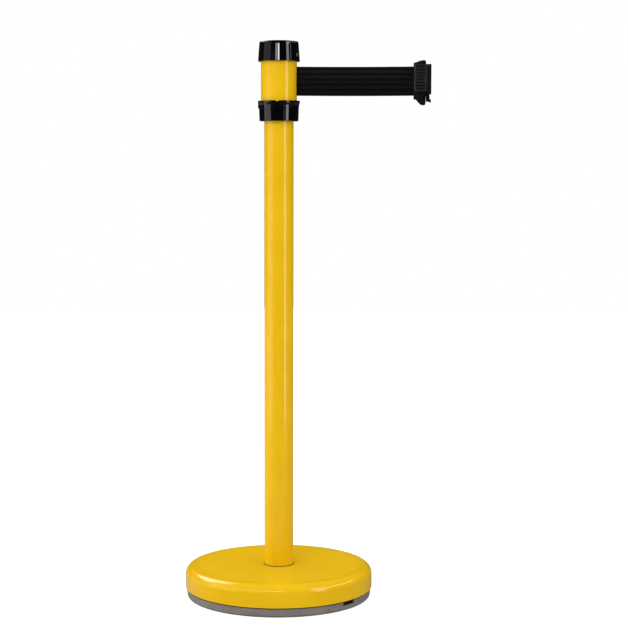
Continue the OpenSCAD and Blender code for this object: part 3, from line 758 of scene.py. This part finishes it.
# ---------------------------------------------------------------- cap
# Glossy black moulded cap over the head's top, drawn in upwards and slightly domed. Three
# narrow upright slits show where the hook of another post's belt goes in.
cap_z = cap_low.z / mm
cap_r = cap_high.x / mm
cap_side = (cap_high.z - cap_low.z) / mm - 2
cap_taper = 2.4
cap_edge = 2.6
cap_top = cap_z + cap_side
cap_dome = cap_high.z / mm - cap_top
dome_r = cap_r - cap_taper - cap_edge
slit_depth = 1.5
slit_reach = slit_depth + 4
slit_low_share, slit_high_share = 0.9, 0.5
slit_half = 3.7
recess_r = 3.8
recess_floor = cap_r - 2.6

cap_outline = (
    rounded([
        (head_r + 0.2, cap_z, 0.3), (cap_r, cap_z, 0.6),
        (cap_r - cap_taper * 0.3, cap_z + cap_side * 0.3, 0)], 4)[:-1]
    + [(cap_r - cap_taper * t, cap_z + cap_side * t) for t in (0.2, 0.4, 0.6, 0.8)]
    + arc(dome_r, cap_top - cap_edge, cap_edge, 4, 84, 9)
    + [(dome_r * (1 - t), cap_top + cap_dome * (1 - (1 - t) ** 2)) for t in (0.12, 0.3, 0.5, 0.75, 1)]
    + [(0, cap_top - 2.6), (head_in - 2, cap_top - 2.6), (head_in - 2, head_high.z / mm + 0.2),
       (head_r + 0.2, head_high.z / mm + 0.2)]
)
cap = piece("cap_moulding", turned(cap_outline, 216), 25)


def slit_cutter(angle):
    """A wedge that cuts one slit, sharp at its bottom and wider at the cap's lower edge."""
    bm = bmesh.new()
    lean = cap_taper / cap_side
    rows = []
    for z, share in ((-1, slit_low_share), (cap_side + 4, slit_high_share)):
        bottom = cap_r - slit_depth - lean * z
        half = share * slit_half
        rows.append([bm.verts.new(((bottom + dx) * mm, y * mm, (cap_z + z) * mm))
                     for dx, y in ((0, 0), (slit_reach, -half), (slit_reach, half))])
    for k in range(3):
        m = (k + 1) % 3
        bm.faces.new((rows[0][k], rows[0][m], rows[1][m], rows[1][k]))
    bm.faces.new(rows[0])
    bm.faces.new(rows[1])
    bmesh.ops.rotate(bm, verts=bm.verts, matrix=Matrix.Rotation(angle, 3, "Z"))
    return piece("slit_cutter", bm)


for receiver in receivers:
    cut(cap, slit_cutter(receiver))
recess = rounded([
    (0, head_r - 3, 0), (screw_hole_r, head_r - 3, 0), (screw_hole_r, recess_floor, 0),
    (recess_r, recess_floor, 0.3), (recess_r, cap_r + 4, 0), (0, cap_r + 4, 0)])
for angle in screw_angles:
    cut(cap, piece("recess_cutter", outward(turned(recess, 40), angle, screw_z)))
cap.data.materials.append(gloss_black)
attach(cap, "stand")
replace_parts(cap, "cap")

# ---------------------------------------------------------------- cap screws
# Two zinc-plated button-head screws, sunk into the cap's wall, hold cap, tube and drum.
screw_face = cap_r - 0.9
screw_mesh = bmesh.new()
for angle in screw_angles:
    screw = turned(rounded([
        (0, screw_face - 1.0, 0), (1.05, screw_face - 1.0, 0), (1.15, screw_face - 0.05, 0.05),
        (2.3, screw_face - 0.12, 0.8), (3.5, screw_face - 0.9, 0.3), (3.5, screw_face - 1.6, 0.1),
        (2, screw_face - 1.6, 0.1), (2, head_in - 2.2, 0.3), (0, head_in - 2.2, 0)]), 36)
    join(screw_mesh, outward(screw, angle, screw_z))
cap_screws = piece("cap_screws_button", screw_mesh)
cap_screws.data.materials.append(zinc)
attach(cap_screws, "stand")
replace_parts(cap_screws, "cap_screws")

# ---------------------------------------------------------------- belt
# Black woven polyester webbing in a herringbone of lengthwise bands, with firm selvedges.
# It runs from the reel through the guide into the clip, where its end is turned and sewn.
clip_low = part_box("clip_front")[0]
clip_x = clip_low.x / mm
belt_start = belt_low.x / mm
belt_end = belt_high.x / mm
belt_half = (belt_high.z - belt_low.z) / 2 / mm
belt_t = 0.6
belt_sag = 0.5
band = 9.0
selvedge = 1.6
rib_pitch = 1.5
yarn_pitch = 0.62
strap_steps = 84
band_steps = 34


def thickness(z):
    """Half the webbing's thickness at a height from its middle."""
    edge = max(0, (abs(z) - (belt_half - selvedge)) / selvedge)
    swell = 0.07 * math.sin(math.pi * min(1, edge)) if edge else 0
    rounding = math.sqrt(max(0.0, 1 - max(0, (abs(z) - belt_half + 0.35) / 0.35) ** 2))
    return (belt_t / 2 - 0.03 + 0.03 * math.cos(2 * math.pi * z / band) + swell) * max(rounding, 0.12)


def hang(x):
    """How far the drawn belt sags between guide and clip."""
    along = min(1, max(0, (x - head_r) / (clip_x - head_r)))
    return -belt_sag * 4 * along * (1 - along)


heights = [belt_half * math.sin(math.pi / 2 * (2 * i / band_steps - 1)) for i in range(band_steps + 1)]
bm = bmesh.new()
loops = []
for i in range(strap_steps + 1):
    x = belt_start + (belt_end - belt_start) * i / strap_steps
    loop = [(-thickness(z), z) for z in heights] + [(thickness(z), z) for z in reversed(heights)]
    loops.append([bm.verts.new((x * mm, y * mm, (belt_z + z + hang(x)) * mm)) for y, z in loop])
for first, second in zip(loops, loops[1:]):
    for k in range(len(first)):
        m = (k + 1) % len(first)
        bm.faces.new((first[k], first[m], second[m], second[k]))
bm.faces.new(loops[0])
bm.faces.new(reversed(loops[-1]))
strap = piece("belt_strap_woven", bm, 50)


def wave(tree, value, pitch):
    """A sine wave along a value, its pitch in millimetres."""
    return worked(tree, "SINE", worked(tree, "MULTIPLY", value, 2 * math.pi / (pitch * mm)))


webbing, tree, shader = finish("black_polyester_webbing", 0.72, Specular_IOR_Level=0.08)
spot = parts_of_place(tree)
herringbone = worked(tree, "PINGPONG", worked(tree, "SUBTRACT", spot[2], belt_low.z), band / 2 * mm)
slant = wave(tree, worked(tree, "ADD", spot[0], herringbone), rib_pitch)
yarn = wave(tree, spot[2], yarn_pitch)
weave = worked(tree, "ADD", worked(tree, "MULTIPLY", slant, 0.3), worked(tree, "MULTIPLY", yarn, 0.2))
bands = worked(tree, "MULTIPLY", ranged(tree, wave(tree, spot[2], band), -1, 1, 0, 1), 0.7)
raised = worked(tree, "ADD", ranged(tree, weave, -0.5, 0.5, 0, 0.3), bands)
# Painted light: the webbing's colour grows lighter towards its upper edge, as if lit from above
painted_top_light = ranged(tree, spot[2], belt_low.z, belt_high.z, 0.35, 1.0)
tree.links.new(blended(tree, worked(tree, "MULTIPLY", raised, painted_top_light), tone(3, 2, 3), tone(27, 25, 26)),
               shader["Base Color"])
tree.links.new(ranged(tree, cloud(tree, 5, 3), 0.3, 0.7, 0.66, 0.8), shader["Roughness"])
roughened(tree, shader, 0.12, weave)
strap.data.materials.append(webbing)
for name in ("belt_roll", "belt_lead", "belt_loop"):
    dressed(name, webbing)

hem_start = clip_x - 8
hem_t = 0.42
hem_half = belt_half - 0.7
hem = piece("belt_hem_sewn", block(
    (hem_start, -belt_t / 2 - hem_t, belt_z - hem_half),
    (clip_x + 2.4, -belt_t / 2 + 0.05, belt_z + hem_half), 0.18, 0, 3))
hem.data.materials.append(webbing)
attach(hem, "belt_end")

stitch_rows = (hem_start + 1.4, hem_start + 6.0)
stitch_pitch = 3.0
stitch_long = 2.3
thread_r = 0.2
stitch_count = int(2 * (belt_half - 2.4) / stitch_pitch)
spokes = [2 * math.pi * j / 8 for j in range(8)]
bm = bmesh.new()
for row in stitch_rows:
    for i in range(stitch_count):
        middle = belt_z - (stitch_count - 1) * stitch_pitch / 2 + i * stitch_pitch
        rings = []
        for k in range(7):
            share = -1 + k / 3
            swell = thread_r * math.sqrt(max(0.05, 1 - share ** 4))
            depth = -belt_t / 2 - hem_t - 0.1 * (1 - share ** 2) + 0.05
            z = middle + share * stitch_long / 2
            rings.append([bm.verts.new((
                (row + swell * math.cos(turn) + 0.25 * share) * mm,
                (depth + swell * math.sin(turn)) * mm, z * mm)) for turn in spokes])
        for first, second in zip(rings, rings[1:]):
            for j in range(8):
                bm.faces.new((first[j], first[j - 1], second[j - 1], second[j]))
        bm.faces.new(rings[0])
        bm.faces.new(rings[-1])
stitches = piece("belt_hem_stitches", bm, 60)
thread = moulded("black_sewing_thread", tone(40, 38, 38), tone(74, 70, 68), 0.5, 0.01, scuffs=0.0)
stitches.data.materials.append(thread)
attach(stitches, "belt_end")

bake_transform(strap)
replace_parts(strap, "belt_strap")

# ---------------------------------------------------------------- clip shells
# The belt's end sits in two matt black half shells, screwed together from behind. Both have
# a sloped top and a keel below, and part along a fine groove down their middle.
clip_half_t = -clip_low.y / mm
clip_mid = belt_z
up = 32.1
down = 31.3
body_len = 21.4
pocket_up = belt_half + 2.6
block_half = 7
block_low = -22.5
clip_outline = [
    (0, -down + 1, 0.4), (1, -down, 0.4), (4.2, -down - 0.3, 0.8), (7.9, -down - 5, 1.5),
    (11.4, -down - 8.4, 3), (14.4, -down - 9.8, 2), (18.6, -down - 9.8, 1.2), (20.6, -down - 8, 1.2),
    (body_len, -down + 6, 1), (body_len, up, 0.6), (20.4, up + 2.8, 0.8), (18.6, up + 3.3, 1),
    (14.6, up + 3.1, 2.5), (9.6, up + 1.8, 3), (5.6, up, 2), (1.4, up - 0.8, 0.8), (0, up - 2.2, 0.6),
]


def plate(outline, front, back, edge, parting=0.0):
    """An upright plate from y = front to y = back; edge and parting round the rims of those faces."""
    bm = bmesh.new()
    loops = []
    for y in (front, back):
        loops.append([bm.verts.new(((clip_x + x) * mm, y * mm, (clip_mid + z) * mm)) for x, z in outline])
    near = bm.faces.new(loops[0])
    far = bm.faces.new(reversed(loops[1]))
    for k in range(len(outline)):
        m = (k + 1) % len(outline)
        bm.faces.new((loops[0][k], loops[1][k], loops[1][m], loops[0][m]))
    for edges, width in ((list(near.edges), edge), (list(far.edges), parting)):
        if width:
            bmesh.ops.bevel(bm, geom=edges, offset=width * mm, segments=3, profile=0.5, affect="EDGES",
                            clamp_overlap=True)
    return bm


def shell(name, side):
    """One half of the clip: side -1 is the front, +1 the back."""
    made = piece(name, plate(rounded(clip_outline, 3), side * clip_half_t, 0, 1.3, 0.2))
    wall = side * (clip_half_t - 2)
    across = sorted((wall, -side * 1.0))
    cut(made, piece("pocket_cutter", block((clip_x + 3, across[0], clip_mid - pocket_up),
                                           (clip_x + 19, across[1], clip_mid + pocket_up), 0.4)))
    across = sorted((side * block_half, -side * 1.0))
    cut(made, piece("block_cutter", block((clip_x + 12, across[0], clip_mid + block_low - 0.2),
                                          (clip_x + 40, across[1], clip_mid + pocket_up))))
    across = sorted((side * 0.8, -side * 1.0))
    cut(made, piece("mouth_cutter", block((clip_x - 3, across[0], clip_mid - belt_half - 0.6),
                                          (clip_x + 6, across[1], clip_mid + belt_half + 0.6), 0.25)))
    made.data.materials.append(matt_black)
    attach(made, "belt_end")
    return made


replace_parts(shell("clip_front_shell", -1), "clip_front")
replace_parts(shell("clip_back_shell", 1), "clip_back")

# ---------------------------------------------------------------- grips
# A ribbed plate on each face of the clip gives finger and thumb a hold. Its belt-side edge
# is rolled off broadly, and eight grooves run across it.
grip_t = 2.0
grip_low, grip_high = -17, 28.4
grip_left, grip_right = 1.4, 24
grooves = 8
groove_pitch = 5.4
groove_half = 1.15
groove_depth = 0.9
groove_left, groove_right = 4.2, 18.6
first_groove = grip_high - 3.8
grip_roll = 1.8

# Painted shade: the grooves between the ribs are painted darker than the plate's outer face
grip_painted_light = moulded("matt_black_plastic_handled", tone(5, 4, 5), tone(46, 44, 44), 0.2, 0.001, scuffs=0.08)
tree = grip_painted_light.node_tree
shader = tree.nodes["Principled BSDF"].inputs
shader["Specular IOR Level"].default_value = 0.3
spot = parts_of_place(tree)
plain = shader["Base Color"].links[0].from_socket
face = (clip_half_t + grip_t) * mm
outer_face_unshaded = ranged(tree, worked(tree, "ABSOLUTE", spot[1]), face - 0.7 * mm, face - 0.2 * mm, 0, 0.8)
ribbed = blended(tree, outer_face_unshaded, plain, tone(31, 28, 28))

# Painted highlights: the rolled edge and the foot of the plate are painted pale where they catch the light
lip_x = (clip_x + grip_left) * mm
lip_highlight = ranged(tree, spot[0], lip_x + 0.8 * mm, lip_x + 1.9 * mm, 1, 0)
foot_z = (clip_mid + grip_low) * mm
foot_highlight = ranged(tree, spot[2], foot_z + 0.7 * mm, foot_z + 1.0 * mm, 1, 0)
painted_highlights = worked(tree, "MAXIMUM", lip_highlight, worked(tree, "MULTIPLY", foot_highlight, outer_face_unshaded))
tree.links.new(blended(tree, worked(tree, "MULTIPLY", painted_highlights, 0.75), ribbed, tone(66, 65, 62)),
               shader["Base Color"])


def grip(name, side):
    """One ribbed plate: side -1 is the front, +1 the back."""
    outer, inner = side * (clip_half_t + grip_t), side * (clip_half_t - 0.05)
    outline = rounded([
        (grip_left, grip_low, 0), (grip_right, grip_low, 3),
        (grip_right, grip_high, 3), (grip_left, grip_high, 0)], 6)
    bm = plate(outline, inner, outer, 0)
    left = [e for e in bm.edges if all(v.co.x < (clip_x + grip_left + 0.01) * mm and
                                       abs(v.co.y - outer * mm) < 1e-6 for v in e.verts)]
    bmesh.ops.bevel(bm, geom=left, offset=grip_roll * mm, segments=8, profile=0.5, affect="EDGES")
    made = piece(name, bm)
    for i in range(grooves):
        z = clip_mid + first_groove - i * groove_pitch
        y0, y1 = sorted((side * (clip_half_t + grip_t - groove_depth), side * (clip_half_t + grip_t + 3)))
        cut(made, piece("groove_cutter", block(
            (clip_x + groove_left, y0, z - groove_half), (clip_x + groove_right, y1, z + groove_half))))
    bevel = made.modifiers.new("worn_edges", "BEVEL")
    bevel.width = 0.35 * mm
    bevel.segments = 3
    bevel.limit_method = "ANGLE"
    bevel.angle_limit = math.radians(50)
    made.modifiers.move(1, 0)
    made.data.materials.append(grip_painted_light)
    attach(made, "belt_end")
    return made


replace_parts(grip("grip_front_plate", -1), "grip_front")
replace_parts(grip("grip_back_plate", 1), "grip_back")

# ---------------------------------------------------------------- hook
# Black moulded block at the clip's end. Its hollow face bears on the next post's head tube,
# and the T-shaped hook under it drops into one of that post's slots.
clip_len = 30.7
chamfer = 2.2
block_high = up - 3.2
saddle_r = head_r + 0.3
block_edge = block_half - 0.8 * chamfer
saddle_sag = saddle_r - math.sqrt(saddle_r ** 2 - block_edge ** 2)
saddle_x = clip_x + clip_len - saddle_sag + saddle_r
tip_x = clip_len - saddle_sag - 3.0


def bearing_block():
    """The block's plan, drawn up between its two ends, with chamfered outer corners."""
    bm = bmesh.new()
    plan = [(body_len, -block_half), (clip_len - chamfer, -block_half), (clip_len, -block_edge),
            (clip_len, block_edge), (clip_len - chamfer, block_half), (body_len, block_half)]
    loops = [[bm.verts.new(((clip_x + x) * mm, y * mm, (clip_mid + z) * mm)) for x, y in plan]
             for z in (block_low, block_high)]
    bm.faces.new(reversed(loops[0]))
    bm.faces.new(loops[1])
    for k in range(len(plan)):
        m = (k + 1) % len(plan)
        bm.faces.new((loops[0][k], loops[0][m], loops[1][m], loops[1][k]))
    bmesh.ops.bevel(bm, geom=bm.edges, offset=0.45 * mm, segments=2, profile=0.5, affect="EDGES")
    return bm


web_half = 1.1
tee_half = 5
tee_drop = 5.6
tee_relief = 0.7
hook_parts = (
    ("block", 0, bearing_block()),
    ("tongue", 0, block((clip_x + 10.5, -block_half + 0.2, clip_mid + block_low),
                        (clip_x + body_len + 1, block_half - 0.2, clip_mid + pocket_up - 0.2), 0.4)),
    ("web", 0, block((clip_x + body_len, -web_half, clip_mid - down - 4),
                     (clip_x + tip_x + 0.5, web_half, clip_mid + block_low + 1), 0.3)),
    ("head", tee_relief, block((clip_x + tip_x, -tee_half, clip_mid - down - tee_drop),
                               (clip_x + clip_len, tee_half, clip_mid - down + 0.2), 0.6, 0, 3)),
)
hook_mesh = bmesh.new()
for name, relief, bm in hook_parts:
    part = piece(name, bm)
    reach = saddle_r + relief
    saddle_low, saddle_high = clip_mid - 60, clip_mid + 60
    saddle = turned([(0, saddle_low), (reach, saddle_low), (reach, saddle_high), (0, saddle_high)], 256)
    bmesh.ops.translate(saddle, verts=saddle.verts, vec=(saddle_x * mm, 0, 0))
    cut(part, piece("saddle_cutter", saddle))
    hook_mesh.from_mesh(part.data)
    bpy.data.objects.remove(part)
hook = piece("hook_block", hook_mesh)
hook.data.materials.append(matt_black)
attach(hook, "belt_end")
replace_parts(hook, "hook")

# ---------------------------------------------------------------- clip screws
# Two small zinc-plated screws with a cross recess hold the half shells together from behind.
clip_screw_low, clip_screw_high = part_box("clip_screws")
clip_screw_r = (clip_screw_high.x - clip_screw_low.x) / 2 / mm
clip_screw_x = (clip_screw_high.x + clip_screw_low.x) / 2 / mm
screw_back, screw_front = clip_screw_high.y / mm, clip_screw_low.y / mm
cross_half, cross_long, cross_depth = 0.28, 1.0, 0.8
screw_mesh = bmesh.new()
for z in (clip_screw_low.z / mm + clip_screw_r, clip_screw_high.z / mm - clip_screw_r):
    screw = piece("screw", turned(rounded([
        (0, screw_front, 0), (clip_screw_r - 0.4, screw_front, 0.2), (clip_screw_r, screw_front + 1, 0),
        (clip_screw_r, screw_back, 0.5), (0, screw_back, 0)]), 32))
    for turn in (0, math.pi / 2):
        cut(screw, piece("cross_cutter", block(
            (-cross_half, -cross_long, screw_back - cross_depth),
            (cross_half, cross_long, screw_back + 2), 0, turn)))
    bm = bmesh.new()
    bm.from_mesh(screw.data)
    bpy.data.objects.remove(screw)
    place = Matrix.Translation((clip_screw_x * mm, 0, z * mm)) @ Matrix.Rotation(-math.pi / 2, 4, "X")
    bmesh.ops.transform(bm, verts=bm.verts, matrix=place)
    join(screw_mesh, bm)
clip_screws = piece("clip_screws_cross", screw_mesh)
clip_screws.data.materials.append(zinc)
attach(clip_screws, "belt_end")
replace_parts(clip_screws, "clip_screws")

# ---------------------------------------------------------------- studio
# A pale floor under an even white surround. The surround shows white where it is looked at
# and is dim in reflections, so that black plastic and paint keep their depth.
level_light = 0.7
overhead_light = 1.18
reflected_room = 0.02
floor_r = 6
floor_grey = 0.6
floor_glow = 0.75

world = bpy.data.worlds.new("surround")
scene.world = world
world.use_nodes = True
tree = world.node_tree
ray = put(tree, "ShaderNodeLightPath").outputs
around = put(tree, "ShaderNodeTexCoord").outputs["Generated"]
upward = put(tree, "ShaderNodeSeparateXYZ", {0: around}).outputs[2]
lit = ranged(tree, upward, 0, 1, level_light, overhead_light)
dimmed = worked(tree, "MULTIPLY", lit, worked(tree, "SUBTRACT", 1.0, ray["Is Glossy Ray"]))
level = worked(tree, "ADD", dimmed, worked(tree, "MULTIPLY", ray["Is Glossy Ray"], reflected_room))
seen = worked(tree, "MAXIMUM", ray["Is Camera Ray"], ray["Is Transmission Ray"])
tree.nodes["Background"].inputs["Color"].default_value = (1, 1, 1, 1)
tree.links.new(worked(tree, "MAXIMUM", level, seen), tree.nodes["Background"].inputs["Strength"])

bm = bmesh.new()
bmesh.ops.create_circle(bm, cap_ends=True, radius=floor_r, segments=96)
floor = piece("floor", bm)
pale, tree, shader = finish("pale_floor", 0.8, Specular_IOR_Level=0.0)
shader["Base Color"].default_value = (floor_grey, floor_grey, floor_grey, 1)
ray = put(tree, "ShaderNodeLightPath").outputs
shader["Emission Color"].default_value = (1, 1, 1, 1)
tree.links.new(worked(tree, "MULTIPLY", ray["Is Camera Ray"], floor_glow), shader["Emission Strength"])

# In reflections the floor glows beside the base and before the post, and is dark close in front
spot = parts_of_place(tree)
backward = ranged(tree, spot[1], -0.18, 0.0, 0.03, 0.3)
leftward = ranged(tree, spot[0], -0.1, 0.1, 1.2, 0.45)
far_before = ranged(tree, spot[1], -1.4, -0.5, 0.05, 0.35)
close_before = ranged(tree, spot[1], -0.44, -0.35, 0.4, 0.02)
glow = worked(tree, "MAXIMUM", worked(tree, "MULTIPLY", backward, leftward),
              worked(tree, "MINIMUM", far_before, close_before))
dim = put(tree, "ShaderNodeEmission", {"Color": (1, 1, 1, 1), "Strength": glow})
shaded = put(tree, "ShaderNodeMixShader", {
    0: ray["Is Glossy Ray"], 1: tree.nodes["Principled BSDF"].outputs[0], 2: dim.outputs[0]})
tree.links.new(shaded.outputs[0], tree.nodes["Material Output"].inputs["Surface"])
floor.data.materials.append(pale)


def lamp(name, bearing, away, height, wide, tall, radiance, shine=True):
    """A soft box, its bearing in degrees to the right of the camera as the post sees it. It
    is there to shine in the glossy surfaces, or else to light the colours."""
    data = bpy.data.lights.new(name, "AREA")
    data.shape = "RECTANGLE"
    data.size, data.size_y = wide, tall
    data.energy = radiance * math.pi * wide * tall
    made = bpy.data.objects.new(name, data)
    turn = camera_side - math.pi / 2 + math.radians(bearing)
    made.location = (away * math.cos(turn), away * math.sin(turn), height)
    target = Vector((0, 0, height if shine else 0.55))
    made.rotation_euler = (target - made.location).to_track_quat("-Z", "Y").to_euler()
    made.visible_camera = False
    made.visible_diffuse = not shine
    made.visible_glossy = shine
    scene.collection.objects.link(made)


lamp("fill", -25, 2.2, 1.75, 1.2, 1.2, 4.1, shine=False)
lamp("fill_left", -105, 2.2, 0.5, 1.2, 0.9, 1.8, shine=False)
lamp("fill_low", -100, 0.8, 0.06, 0.6, 0.16, 3.6, shine=False)
lamp("fill_right", 74, 2.2, 0.8, 1.0, 0.9, 1.3, shine=False)
lamp("strip_right", 50, 2.0, 0.95, 0.5, 2.2, 3.1)
lamp("edge_right", 70, 2.0, 1.4, 0.09, 0.5, 2.4)
lamp("panel_right", 38, 2.1, 0.65, 0.9, 0.5, 0.3)
lamp("panel_left", -71, 2.0, 0.48, 1.7, 1.0, 1.0)
lamp("panel_left_high", -71, 2.0, 1.34, 1.7, 0.7, 0.4)
lamp("key", -2.0, 2.9, 1.58, 0.42, 0.3, 12.5)
lamp("key_side", -15.0, 2.9, 1.58, 0.4, 0.3, 5.0)
lamp("key_low", -33, 2.9, 1.3, 0.9, 0.2, 6.0)
lamp("bank_right", 84, 4.0, 2.3, 5.0, 0.5, 5.0)
lamp("window_left", -128, 6.0, 6.7, 4.6, 6.6, 5.4)
